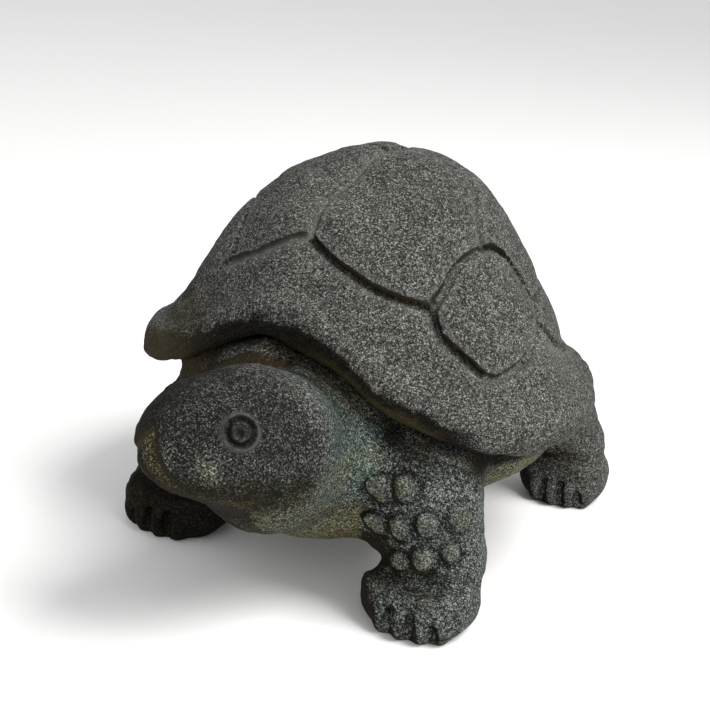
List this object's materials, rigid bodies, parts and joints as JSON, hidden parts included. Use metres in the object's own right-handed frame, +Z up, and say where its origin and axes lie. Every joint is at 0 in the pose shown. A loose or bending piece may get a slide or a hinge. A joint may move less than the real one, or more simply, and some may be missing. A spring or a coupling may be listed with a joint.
{
  "type": "stone turtle figurine",
  "caption": "Solid carved stone turtle garden ornament with a high domed shell, a waved brim, a head turned to one side and a striding stance on broad feet.",
  "frame": {"origin": "on the ground under the middle of the whole figure, at the bottom centre of its bounding box", "axes": "+Z up, -Y towards the head end, +X to the animal's left"},
  "size_m": [0.1928, 0.2522, 0.1674],
  "materials": {
    "granite": "rough hammered dark grey granite with a fine pale speckle"
  },
  "bodies": {
    "root": {"turtle": "granite"}
  },
  "joints": []
}
